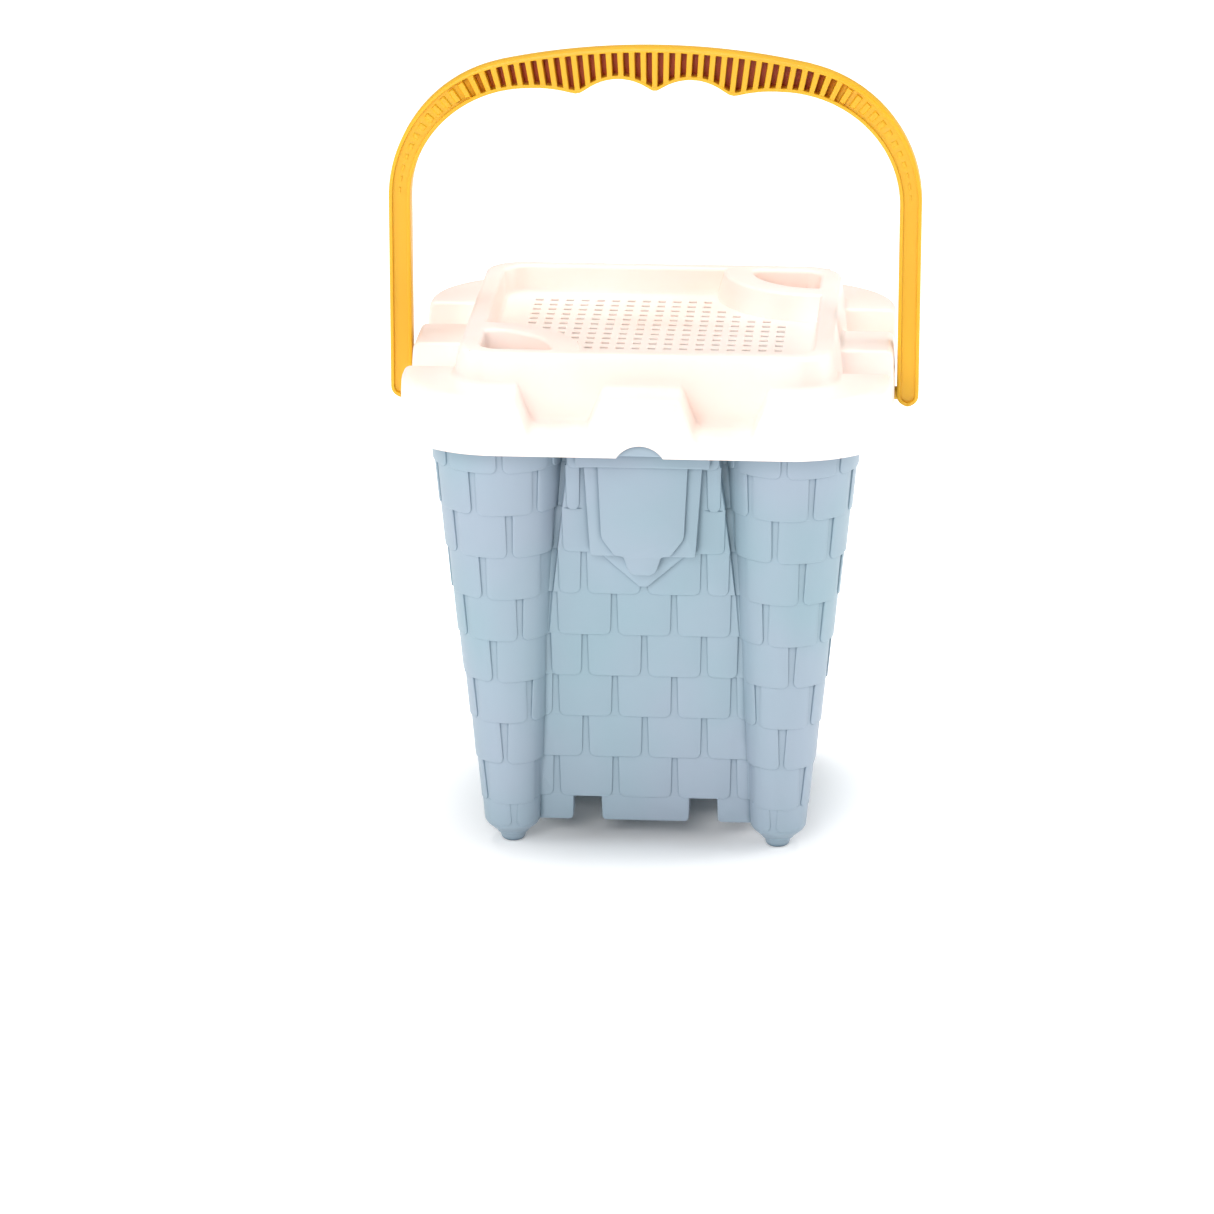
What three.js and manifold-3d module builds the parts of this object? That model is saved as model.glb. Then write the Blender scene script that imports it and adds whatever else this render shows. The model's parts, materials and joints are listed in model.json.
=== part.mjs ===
// A castle-shaped sand bucket: a square bucket with four round corner towers, a sieve lid
// with battlements, and a carry handle that snaps into the sides of the bucket's rim.
// Units are millimetres and +Z is up. The origin is on the ground, midway between the feet.
// The front is -Y. The handle's pivots lie on the X axis.

import * as THREE from 'three';
import { mergeGeometries, mergeVertices } from 'three/addons/utils/BufferGeometryUtils.js';
import Module from 'manifold-3d';

const wasm = await Module();
wasm.setup();

// ---- Driving dimensions ---------------------------------------------------------------

// Bucket: every size of the walls grows in a straight line with height.
const panelHalf = (z) => 47.5 + 0.1345 * z;
const towerCentre = (z) => 49.7 + 0.0264 * z;
const towerRadius = (z) => 9.2 + 0.0989 * z;
const bucketWall = 2;
const floorUnderside = 17.8;
const rimTop = 166.8;
const rimBottom = 161.3;
const rimHalf = 87.4;
const rimCorner = 34.6;
const rimThickness = 1.8;
const footRadius = 4;
const eaveRadius = 6;
const eaveHeight = 4.5;
const roofHeight = 7;

// Battlements under the floor: a middle merlon and two side merlons on every side.
const merlonBottom = 7.7;
const merlonHalf = 16.5;
const sideMerlonStart = 26.9;
const sideMerlonEnd = 44;
const merlonDepth = 9;

// Gate on the front and back: stacked plates with upright faces.
const gateFrontPlate = 69;
const gateFrontShield = 71.2;
const gateFrontCornice = 72.8;

// Pivot ears, hanging from the middle of the rim's left and right sides.
const pivotHeight = 162.6;
const earRadius = 8;
const earHoleRadius = 2.9;
const snapSlotHalf = 4.2;
const snapSlotWidth = 3.2;

// Sieve lid.
const lidHalf = 90;
const lidCorner = 37;
const lidBottom = 161.2;
const lidTop = 182.6;
const lidEdge = 2.6;
const lidWall = 1.8;
const crenelCentre = 30;
const crenelTopHalf = 15.6;
const crenelFloorHalf = 10;
const crenelFloor = 169;
const frameHalf = 68;
const frameBaseHalf = 69.6;
const frameTop = 193.7;
const frameCorner = 13;
const trayHalf = 60.4;
const trayCorner = 9;
const trayFloor = 183.7;
const trayPlate = 1.5;
const ringRadius = 37;
const ringBaseRadius = 40;
const pocketRadius = 26;
const pocketFloor = 174;
const pinNotchHeight = 4.6;
const pinNotchHalf = 8.45;
const pinSlotHeight = 10.8;
const meshHole = 4;
const meshPitchX = 5.88;
const meshPitchY = 6.8;
const meshColumns = 17;
const meshRows = 15;

// Carry handle.
const handleDepth = 8.6;
const armOuter = 99;
const armInner = 90.8;
const shoulderHeight = 235;
const shoulderCentre = 46;
const shoulderRadius = 53;
const archCentreHeight = 22;
const archRadius = 271;
const shoulderInnerWidth = 44.8;
const shoulderInnerHeight = 42.4;
const fingerTip = 27.7;
const fingerTipHeight = 274.9;
const middleTipHeight = 276;
const fingerArcCentre = 13.3;
const fingerArcHeight = 262;
const fingerArcRadius = 19.34;
const pinRadius = 2.5;
const pinHeadRadius = 3.7;
const pinHeadThickness = 1.6;
const flange = 1.4;
const ribPitch = 4.2;
const ribGap = 2.2;
const deepPocket = 6.6;
const shallowRecess = 1.2;

// ---- Materials ------------------------------------------------------------------------

const bluePlastic = new THREE.MeshStandardMaterial({ color: '#a3b9c9', roughness: 0.42, metalness: 0 });
const creamPlastic = new THREE.MeshStandardMaterial({ color: '#fbeee2', roughness: 0.35, metalness: 0 });
const yellowPlastic = new THREE.MeshStandardMaterial({ color: '#f4b63a', roughness: 0.38, metalness: 0 });

// ---- Helpers --------------------------------------------------------------------------

const quarterTurns = [0, 90, 180, 270];

// Turns a closed geometry into a solid: welds it and leaves out triangles that weld to a line.
function solid(geometry) {
  geometry.deleteAttribute('normal');
  geometry.deleteAttribute('uv');
  const welded = mergeVertices(geometry, 1e-4);
  const corners = welded.index.array;
  const triVerts = [];
  for (let i = 0; i < corners.length; i += 3) {
    const [a, b, c] = corners.slice(i, i + 3);
    if (a !== b && b !== c && c !== a) triVerts.push(a, b, c);
  }
  return new wasm.Manifold(new wasm.Mesh({
    numProp: 3,
    vertProperties: Float32Array.from(welded.attributes.position.array),
    triVerts: Uint32Array.from(triVerts),
  }));
}

function joined(solids) {
  return solids.reduce((whole, next) => whole.add(next));
}

function onSides(make, turns) {
  return joined(turns.map((turn) => make().rotate([0, 0, turn])));
}

// A square with round corners, centred on the axis.
function roundedSquare(half, corner) {
  const straight = half - corner;
  const shape = new THREE.Shape();
  shape.absarc(straight, straight, corner, 0, Math.PI / 2);
  shape.absarc(-straight, straight, corner, Math.PI / 2, Math.PI);
  shape.absarc(-straight, -straight, corner, Math.PI, 1.5 * Math.PI);
  shape.absarc(straight, -straight, corner, 1.5 * Math.PI, 2 * Math.PI);
  return shape;
}

// An upright prism between two heights whose top is drawn in or out by a scale.
function prism(shape, low, high, topScale = 1, curveSegments = 8) {
  const settings = { depth: high - low, bevelEnabled: false, curveSegments };
  const geometry = new THREE.ExtrudeGeometry(shape, settings);
  const points = geometry.attributes.position;
  for (let i = 0; i < points.count; i += 1) {
    const scale = points.getZ(i) > 0 ? topScale : 1;
    points.setXYZ(i, points.getX(i) * scale, points.getY(i) * scale, points.getZ(i) + low);
  }
  return solid(geometry);
}

// A plate drawn in X and Z and extruded along Y, from y = -far to y = -near.
function frontPlate(shape, near, far) {
  const settings = { depth: far - near, bevelEnabled: false, curveSegments: 6 };
  const geometry = new THREE.ExtrudeGeometry(shape, settings);
  geometry.rotateX(Math.PI / 2);
  geometry.translate(0, -near, 0);
  return solid(geometry);
}

function box(low, high) {
  const geometry = new THREE.BoxGeometry(high[0] - low[0], high[1] - low[1], high[2] - low[2]);
  geometry.translate((low[0] + high[0]) / 2, (low[1] + high[1]) / 2, (low[2] + high[2]) / 2);
  return solid(geometry);
}

function cylinderAlongX(radius, from, to, height) {
  const geometry = new THREE.CylinderGeometry(radius, radius, to - from, 24);
  geometry.rotateZ(Math.PI / 2);
  geometry.translate((from + to) / 2, 0, height);
  return solid(geometry);
}

function polygon(points) {
  return new THREE.Shape(points.map(([x, z]) => new THREE.Vector2(x, z)));
}

// ---- Bucket ---------------------------------------------------------------------------

// The square core between two heights, drawn in by an inset on every side.
function core(inset, low, high) {
  const corner = (z) => Math.SQRT2 * (panelHalf(z) - inset);
  const geometry = new THREE.CylinderGeometry(corner(high), corner(low), high - low, 4);
  geometry.rotateX(Math.PI / 2);
  geometry.rotateZ(Math.PI / 4);
  geometry.translate(0, 0, (low + high) / 2);
  return solid(geometry);
}

// One corner tower with its foot and eave, leaning outwards with the draft.
function tower(inset, top) {
  const profile = [
    [0, inset],
    [footRadius - 0.8 * inset, inset],
    [eaveRadius - 0.8 * inset, eaveHeight + 0.5 * inset],
    [towerRadius(roofHeight) - inset, roofHeight + 0.5 * inset],
    [towerRadius(top) - inset, top],
    [0, top],
  ];
  const geometry = new THREE.LatheGeometry(profile.map(([r, z]) => new THREE.Vector2(r, z)), 32);
  geometry.rotateX(Math.PI / 2);
  const points = geometry.attributes.position;
  for (let i = 0; i < points.count; i += 1) {
    const z = points.getZ(i);
    points.setXYZ(i, points.getX(i) + towerCentre(z), points.getY(i) - towerCentre(z), z);
  }
  return solid(geometry);
}

// Battlements: pockets that hang below the floor, flush with the sloping side.
function merlons(inset, top) {
  const makeSide = () => {
    const outerFace = -panelHalf(floorUnderside) - 1;
    const innerFace = -panelHalf(merlonBottom) + merlonDepth - inset;
    const bottom = merlonBottom + inset;
    return joined([
      box([-merlonHalf + inset, outerFace, bottom], [merlonHalf - inset, innerFace, top]),
      box([sideMerlonStart + inset, outerFace, bottom], [sideMerlonEnd, innerFace, top]),
      box([-sideMerlonEnd, outerFace, bottom], [-sideMerlonStart - inset, innerFace, top]),
    ]);
  };
  return onSides(makeSide, quarterTurns).intersect(core(inset, merlonBottom, top));
}

// Gate: a tapering plate with a pointed gable, a shield on it and a cornice above.
function gate(inset, top) {
  const makeGate = () => {
    const plate = polygon([
      [-20.9 + inset, top], [-18 + inset, 118 + inset], [18 - inset, 118 + inset], [20.9 - inset, top],
    ]);
    const gable = polygon([
      [-16.4 + inset, 120 + inset], [-1.3, 105 + 1.4 * inset],
      [1.3, 105 + 1.4 * inset], [16.4 - inset, 120 + inset],
    ]);
    const shield = polygon([
      [-16.8 + inset, top], [-16 + inset, 126 + inset], [-9.4 + inset, 119.2 + inset], [0, 111.4 + inset],
      [9.4 - inset, 119.2 + inset], [16 - inset, 126 + inset], [16.8 - inset, top],
    ]);
    const cornice = polygon([
      [-23.5 + inset, top], [-23.5 + inset, 152.6 + inset],
      [23.5 - inset, 152.6 + inset], [23.5 - inset, top],
    ]);
    const root = 52;
    return joined([
      frontPlate(plate, root, gateFrontPlate - inset),
      frontPlate(gable, root, gateFrontPlate - inset),
      frontPlate(shield, root, gateFrontShield - inset),
      frontPlate(cornice, root, gateFrontCornice - inset),
    ]);
  };
  return onSides(makeGate, [0, 180]);
}

function pivotEar() {
  const disc = cylinderAlongX(earRadius, rimHalf - rimThickness, rimHalf, pivotHeight);
  return disc.intersect(box([0, -earRadius - 1, 140], [rimHalf + 1, earRadius + 1, rimTop]));
}

// A slot through the rim's top, inside the ear, where the head of the handle's pin turns.
function snapSlot() {
  const inner = rimHalf - rimThickness;
  return box([inner - snapSlotWidth, -snapSlotHalf, rimBottom], [inner, snapSlotHalf, rimTop + 1]);
}

function makeBucket() {
  const top = rimTop - rimThickness;
  const outer = joined([
    core(0, floorUnderside, rimTop),
    onSides(() => tower(0, rimTop), quarterTurns),
    merlons(0, floorUnderside + 1),
    gate(0, top),
  ]);
  const over = rimTop + 2;
  const hollow = joined([
    core(bucketWall, floorUnderside + bucketWall, over),
    onSides(() => tower(bucketWall, over), quarterTurns),
    merlons(bucketWall, floorUnderside + bucketWall + 1),
    gate(bucketWall, top - bucketWall),
  ]);
  const rimOutline = roundedSquare(rimHalf, rimCorner);
  const rimInside = roundedSquare(rimHalf - rimThickness, rimCorner - rimThickness);
  const collar = prism(rimOutline, rimBottom, rimTop).subtract(prism(rimInside, rimBottom - 1, top));
  const ears = onSides(pivotEar, [0, 180]);
  const holes = onSides(() => cylinderAlongX(earHoleRadius, rimHalf - 5, rimHalf + 2, pivotHeight), [0, 180]);
  const slots = onSides(snapSlot, [0, 180]);
  return joined([outer, collar, ears]).subtract(hollow).subtract(holes).subtract(slots);
}

// ---- Sieve lid ------------------------------------------------------------------------

// The battlement gaps, cut from the outside of the skirt in to the raised frame.
function crenels(grow) {
  const gap = () => polygon([
    [crenelCentre - crenelTopHalf - grow, lidTop + 1], [crenelCentre - crenelTopHalf - grow, lidTop],
    [crenelCentre - crenelFloorHalf - 1 - grow, crenelFloor + 2 - grow],
    [crenelCentre - crenelFloorHalf + 1.2 - grow, crenelFloor - grow],
    [crenelCentre + crenelFloorHalf - 1.2 + grow, crenelFloor - grow],
    [crenelCentre + crenelFloorHalf + 1 + grow, crenelFloor + 2 - grow],
    [crenelCentre + crenelTopHalf + grow, lidTop], [crenelCentre + crenelTopHalf + grow, lidTop + 1],
  ]);
  const makeSide = () => {
    const right = frontPlate(gap(), frameHalf - 1, lidHalf + 3);
    return right.add(right.translate([-2 * crenelCentre, 0, 0]));
  };
  const frameCore = prism(roundedSquare(frameBaseHalf - grow, frameCorner), crenelFloor - 5, lidTop + 5);
  return onSides(makeSide, quarterTurns).subtract(frameCore);
}

// A cone standing on two opposite tray corners, used for the rings and the pockets behind them.
function cornerCones(baseRadius, topRadius, low, high) {
  const makeOne = () => {
    const geometry = new THREE.CylinderGeometry(topRadius, baseRadius, high - low, 48);
    geometry.rotateX(Math.PI / 2);
    geometry.translate(-trayHalf, -trayHalf, (low + high) / 2);
    return solid(geometry);
  };
  return onSides(makeOne, [0, 180]);
}

// The sunk tray with its two corner rings, and the finger pockets behind the rings.
function tray(grow, floor) {
  const over = frameTop + 1;
  const outline = roundedSquare(trayHalf + grow, trayCorner + grow);
  const rings = cornerCones(ringBaseRadius - grow, ringRadius - grow, floor - 1, over + 1);
  const pockets = cornerCones(pocketRadius - 2 + grow, pocketRadius + grow, pocketFloor - grow, over);
  const deepOutline = prism(outline, pocketFloor - grow, over);
  return prism(outline, floor, over).subtract(rings).add(pockets.intersect(deepOutline));
}

// The skirt has a low arch in the middle of the front and the back, and a taller one over each pin.
function pinNotches() {
  const radius = (pinNotchHalf ** 2 + pinNotchHeight ** 2) / (2 * pinNotchHeight);
  const height = lidBottom + pinNotchHeight - radius;
  const low = onSides(() => cylinderAlongX(radius, lidHalf - 4, lidHalf + 2, height), [90, 270]);
  const tall = onSides(() => cylinderAlongX(pinNotchHalf, lidHalf - 4, lidHalf + 2, 0), [0, 180])
    .scale([1, 1, pinSlotHeight / pinNotchHalf]).translate([0, 0, lidBottom]);
  return low.add(tall);
}

function meshHoles() {
  const geometries = [];
  for (let column = 0; column < meshColumns; column += 1) {
    for (let row = 0; row < meshRows; row += 1) {
      const x = (column - (meshColumns - 1) / 2) * meshPitchX;
      const y = (row - (meshRows - 1) / 2) * meshPitchY;
      const toRing = Math.min(Math.hypot(x + trayHalf, y + trayHalf), Math.hypot(x - trayHalf, y - trayHalf));
      if (toRing > ringBaseRadius + meshHole) {
        const hole = new THREE.BoxGeometry(meshHole, meshHole, 3 * trayPlate);
        hole.translate(x, y, trayFloor - trayPlate / 2);
        geometries.push(hole);
      }
    }
  }
  return solid(mergeGeometries(geometries));
}

function makeLid() {
  const body = (inset, low) => {
    const side = lidTop - lidEdge - inset / 2;
    const half = lidHalf - inset;
    const lower = prism(roundedSquare(half, lidCorner - inset), low, side);
    const drawnIn = (half - lidEdge) / half;
    const edge = prism(roundedSquare(half, lidCorner - inset), side - 0.01, lidTop - inset, drawnIn);
    return lower.add(edge);
  };
  const frame = (inset) => {
    const low = lidTop - 12;
    const baseHalf = frameBaseHalf - inset;
    return prism(roundedSquare(baseHalf, frameCorner), low, frameTop - inset, (frameHalf - inset) / baseHalf);
  };
  const outer = body(0, lidBottom).add(frame(0)).subtract(crenels(0)).subtract(tray(0, trayFloor));
  const hollow = body(lidWall, lidBottom - 1).add(frame(lidWall))
    .subtract(crenels(lidWall)).subtract(tray(lidWall, trayFloor - trayPlate));
  return outer.subtract(hollow).subtract(pinNotches()).subtract(meshHoles());
}

// ---- Carry handle ---------------------------------------------------------------------

// Half the side view, on +X, as a closed outline drawn in by an inset.
function handleOutline(inset) {
  const reach = Math.acos((shoulderCentre) / (archRadius - shoulderRadius));
  const armMiddle = (armOuter + armInner) / 2;
  const footRound = (armOuter - armInner) / 2 - inset;
  const tipAngle = Math.atan2(fingerTipHeight - fingerArcHeight, fingerTip - fingerArcCentre);
  const middleAngle = Math.atan2(middleTipHeight - fingerArcHeight, -fingerArcCentre);
  const shape = new THREE.Shape();
  shape.moveTo(0, archCentreHeight + archRadius - inset);
  shape.absarc(0, archCentreHeight, archRadius - inset, Math.PI / 2, reach, true);
  shape.absarc(shoulderCentre, shoulderHeight, shoulderRadius - inset, reach, 0, true);
  shape.absarc(armMiddle, pivotHeight, footRound, 0, -Math.PI, true);
  shape.lineTo(armInner + inset, shoulderHeight);
  shape.absellipse(shoulderCentre, shoulderHeight, shoulderInnerWidth + inset, shoulderInnerHeight + inset,
    0, Math.PI / 2, false);
  shape.quadraticCurveTo(36, 277.6 + inset, fingerTip, fingerTipHeight + inset);
  shape.absarc(fingerArcCentre, fingerArcHeight + inset, fingerArcRadius, tipAngle, middleAngle, false);
  return shape;
}

function handleHalf(inset, near, far) {
  const geometry = new THREE.ExtrudeGeometry(handleOutline(inset), {
    depth: far - near, bevelEnabled: false, curveSegments: 10,
  });
  geometry.rotateX(Math.PI / 2);
  geometry.translate(0, far, 0);
  return solid(geometry);
}

// The pockets between the ribs, one slot for each gap along the arch and the shoulders.
function ribSlots() {
  const slots = [];
  const archReach = Math.PI / 2 - Math.acos(shoulderCentre / (archRadius - shoulderRadius));
  const archGauge = archRadius - 7;
  const shoulderGauge = shoulderRadius - 5.5;
  const archLength = archGauge * archReach;
  const shoulderLength = shoulderGauge * (Math.PI / 2 - archReach);
  for (let along = ribPitch / 2; along < archLength + shoulderLength; along += ribPitch) {
    const past = along - archLength;
    const onArch = past < 0;
    const tilt = onArch ? along / archGauge : archReach + past / shoulderGauge;
    const centre = onArch ? [0, archCentreHeight] : [shoulderCentre, shoulderHeight];
    const radius = onArch ? archGauge : shoulderGauge;
    const fade = onArch ? 0 : past / shoulderLength;
    const depth = shallowRecess + (deepPocket - shallowRecess) * (1 - fade) ** 1.5;
    const slot = new THREE.BoxGeometry(ribGap, 2 * depth, 30);
    slot.rotateY(tilt);
    slot.translate(
      centre[0] + radius * Math.sin(tilt), -handleDepth / 2, centre[1] + radius * Math.cos(tilt),
    );
    slots.push(solid(slot));
  }
  return joined(slots);
}

function makeHandle() {
  const face = -handleDepth / 2;
  const half = handleHalf(0, face, -face);
  const channel = handleHalf(flange, face - 1, -face - 1);
  const arms = box([60, face - 1, pivotHeight + 8], [armOuter, face + shallowRecess, 252]);
  const right = half.subtract(ribSlots().intersect(channel)).subtract(channel.intersect(arms));
  const pin = cylinderAlongX(pinRadius, rimHalf - rimThickness - 1, armInner + 2, pivotHeight);
  const headStart = rimHalf - rimThickness - 0.5;
  const head = cylinderAlongX(pinHeadRadius, headStart - pinHeadThickness, headStart, pivotHeight);
  const rightHalf = right.add(pin).add(head);
  return rightHalf.add(rightHalf.mirror([1, 0, 0]));
}

// ---- Assembly -------------------------------------------------------------------------

function meshOf(name, whole, material) {
  const faces = whole.getMesh();
  const geometry = new THREE.BufferGeometry();
  geometry.setAttribute('position', new THREE.BufferAttribute(faces.vertProperties, 3));
  geometry.setIndex(new THREE.BufferAttribute(faces.triVerts, 1));
  geometry.computeVertexNormals();
  const mesh = new THREE.Mesh(geometry, material);
  mesh.name = name;
  return mesh;
}

const group = new THREE.Group();
group.add(meshOf('castle_bucket', makeBucket(), bluePlastic));
group.add(meshOf('sieve_lid', makeLid(), creamPlastic));
group.add(meshOf('carry_handle', makeHandle(), yellowPlastic));

export default group;
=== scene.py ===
# %% [markdown]
# # A castle sand bucket
#
# This lesson builds the outside of a beach toy that is injection-moulded in three pieces: a grey-blue bucket
# shaped like a castle, a cream lid with a sieve in it, and a yellow carry handle. The fixed frame below holds
# the plain working solids. Each of them is replaced by a piece with the real fillets, shingles and ribs.
# Shapes are worked out in millimetres, as a toolmaker would, and turned into metres when a mesh is made.

# %% Load the frame
import json
import math

import bmesh
import bpy
import numpy as np
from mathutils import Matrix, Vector
from mathutils.kdtree import KDTree


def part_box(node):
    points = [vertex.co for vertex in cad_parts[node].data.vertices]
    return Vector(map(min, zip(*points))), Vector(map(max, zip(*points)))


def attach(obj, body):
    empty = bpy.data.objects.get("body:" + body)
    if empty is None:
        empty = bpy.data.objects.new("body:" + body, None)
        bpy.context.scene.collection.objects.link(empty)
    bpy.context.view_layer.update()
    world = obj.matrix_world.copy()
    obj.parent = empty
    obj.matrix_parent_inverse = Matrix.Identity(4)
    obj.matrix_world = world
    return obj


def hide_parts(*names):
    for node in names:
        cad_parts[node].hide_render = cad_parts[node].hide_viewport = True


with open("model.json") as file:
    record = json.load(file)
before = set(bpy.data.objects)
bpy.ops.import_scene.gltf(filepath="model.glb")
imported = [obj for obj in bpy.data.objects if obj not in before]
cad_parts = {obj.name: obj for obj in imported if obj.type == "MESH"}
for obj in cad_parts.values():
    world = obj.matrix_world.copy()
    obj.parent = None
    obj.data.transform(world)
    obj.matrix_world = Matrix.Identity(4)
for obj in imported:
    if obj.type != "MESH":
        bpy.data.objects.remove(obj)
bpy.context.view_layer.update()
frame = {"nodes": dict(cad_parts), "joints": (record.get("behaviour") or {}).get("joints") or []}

MM = 0.001
print("working solids:", sorted(frame["nodes"]))

# %% [markdown]
# The main sizes come from the frame: how wide and tall each moulding is, and where the handle turns. Every
# other size is a step from one of these.

# %% Read the main sizes
bucket_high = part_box("castle_bucket")[1] / MM
lid_low, lid_high = (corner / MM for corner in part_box("sieve_lid"))
handle_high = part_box("carry_handle")[1] / MM

RIM_HALF = bucket_high.x
RIM_TOP = bucket_high.z
LID_HALF = lid_high.x
LID_BOTTOM = lid_low.z
FRAME_TOP = lid_high.z
ARM_OUTER = handle_high.x
HANDLE_TOP = handle_high.z
HANDLE_HALF_DEPTH = handle_high.y
PIVOT_HEIGHT = next(j["pos_m"][2] for j in frame["joints"] if j["name"] == "handle_swing") / MM
print(f"rim {RIM_HALF:.1f} half, {RIM_TOP:.1f} high; lid {LID_HALF:.1f} half; pivot at {PIVOT_HEIGHT:.1f}")

# %% [markdown]
# ## Three tools for moulded shapes
#
# A moulding is mostly skins drawn along a path with every corner rounded. Three small tools make them all: a
# path whose corners are arcs, a skin lofted through rings of points, and a join of two solids. Lofting gives
# even faces that shade smoothly, and joining closed solids afterwards is how the tool itself is cut.

# %% A path with round corners
def rounded_path(corners, steps=4):
    """Corners are (across, up, radius). Each corner with a radius becomes an arc."""
    path = []
    for i, (across, up, radius) in enumerate(corners):
        here = np.array([across, up], float)
        if radius == 0 or i in (0, len(corners) - 1):
            path.append(here)
            continue
        back = np.array(corners[i - 1][:2], float) - here
        ahead = np.array(corners[i + 1][:2], float) - here
        back /= np.linalg.norm(back)
        ahead /= np.linalg.norm(ahead)
        half_angle = math.acos(np.clip(back @ ahead, -1, 1)) / 2
        reach = radius / math.tan(half_angle)
        middle = (back + ahead) / np.linalg.norm(back + ahead)
        centre = here + middle * radius / math.sin(half_angle)
        spoke = here + back * reach - centre
        start = math.atan2(spoke[1], spoke[0])
        spoke = here + ahead * reach - centre
        sweep = (math.atan2(spoke[1], spoke[0]) - start + math.pi) % (2 * math.pi) - math.pi
        for step in range(steps + 1):
            angle = start + sweep * step / steps
            path.append(centre + radius * np.array([math.cos(angle), math.sin(angle)]))
    return np.array(path)


# %% A skin lofted through rings
def loft(rings, joined_ends=False):
    """Faces between rings with equal numbers of points, closed by a flat face at each end or end to end."""
    count = len(rings[0])
    verts = [tuple(point) for ring in rings for point in ring]
    faces = []
    spans = len(rings) if joined_ends else len(rings) - 1
    for row in range(spans):
        low, high = row * count, (row + 1) % len(rings) * count
        for i in range(count):
            nxt = (i + 1) % count
            faces.append((low + i, low + nxt, high + nxt, high + i))
    if not joined_ends:
        faces.append(tuple(range(count))[::-1])
        faces.append(tuple(range(len(verts) - count, len(verts))))
    return verts, faces


def turned(profile, steps):
    """A solid turned about an upright axis from (radius, height) points that start and end on the axis."""
    angles = [2 * math.pi * i / steps for i in range(steps)]
    return loft([[(radius * math.cos(a), radius * math.sin(a), up) for a in angles]
                 for radius, up in profile[1:-1]])


# %% Make, copy and join solids
def new_solid(name, *parts):
    """One mesh object from (points, faces) pairs in millimetres, with every face looking out."""
    verts, faces = [], []
    for part_verts, part_faces in parts:
        start = len(verts)
        verts += [Vector(v) * MM for v in part_verts]
        faces += [tuple(start + i for i in face) for face in part_faces]
    mesh = bpy.data.meshes.new(name)
    mesh.from_pydata(verts, [], faces)
    work = bmesh.new()
    work.from_mesh(mesh)
    bmesh.ops.recalc_face_normals(work, faces=work.faces)
    work.to_mesh(mesh)
    work.free()
    solid = bpy.data.objects.new(name, mesh)
    bpy.context.scene.collection.objects.link(solid)
    return solid


def turn_about_z(part, quarter_turns):
    """The same part, a number of quarter turns further round."""
    verts, faces = part
    for _ in range(quarter_turns):
        verts = [(-y, x, z) for x, y, z in verts]
    return verts, faces


def combine(target, tool, operation):
    """Joins or cuts the target by the tool and throws the tool away."""
    step = target.modifiers.new("combine", "BOOLEAN")
    step.operation = operation
    step.solver = "MANIFOLD"
    step.object = tool
    graph = bpy.context.evaluated_depsgraph_get()
    result = bpy.data.meshes.new_from_object(target.evaluated_get(graph))
    target.modifiers.clear()
    spare = target.data
    target.data = result
    bpy.data.meshes.remove(spare)
    bpy.data.objects.remove(tool)


def finish_surface(solid, sharp_degrees=32):
    """Smooth shading, with edges kept crisp where the faces meet at more than the angle."""
    solid.data.shade_smooth()
    solid.data.set_sharp_from_angle(angle=math.radians(sharp_degrees))
    print(f"{solid.name}: {len(solid.data.polygons)} faces")


# %% [markdown]
# ## The bucket's wall
#
# The bucket is a square pail with a round tower on each corner, and the whole wall flares upwards so that
# the moulding, and later a sand castle, slips out. In plan it is four straight panels, four tower arcs and a
# small hollow fillet where they meet, and all of these grow in a straight line with height. From half way up
# a groove opens in place of the fillet and cuts back beside the tower. One function blends the two and gives
# the plan at any height, and the wall is a loft through a stack of plans.

# %% The plan of the wall at a height
FLOOR = 17.8
ROW = 16.69
ROWS = 9
WALL = 2.3
PANEL_FOOT, PANEL_FLARE = 47.5, 0.1345
CENTRE_FOOT, CENTRE_FLARE = 49.7, 0.0264
RADIUS_FOOT, RADIUS_FLARE = 9.2, 0.0989
FILLET_FOOT, FILLET_FLARE = 1.6, 0.016
GROOVE_START, GROOVE_RISE = 84, 72
GROOVE_EDGE, GROOVE_DEPTH, GROOVE_LIP = 28.0, 8.0, 0.7


def panel_half(z):
    return PANEL_FOOT + PANEL_FLARE * z


def tower_centre(z):
    return CENTRE_FOOT + CENTRE_FLARE * z


def tower_radius(z):
    return RADIUS_FOOT + RADIUS_FLARE * z


def groove_share(z):
    """How far the groove beside the tower has opened at this height, from 0 to 1."""
    return min(max((z - GROOVE_START) / GROOVE_RISE, 0), 1) ** 1.3


def fillet_foot(z, lift):
    """Where the hollow fillet beside the tower leaves the panel, and the fillet's radius."""
    panel, centre, radius = panel_half(z) + lift, tower_centre(z), tower_radius(z) + lift
    fillet = FILLET_FOOT + FILLET_FLARE * z - lift
    return centre - math.sqrt((radius + fillet) ** 2 - (centre - panel - fillet) ** 2), fillet


def panel_end(z):
    """Where the flat of the panel ends at this height."""
    share = groove_share(z)
    return (1 - share) * fillet_foot(z, 0)[0] + share * (GROOVE_EDGE - GROOVE_LIP)


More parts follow.
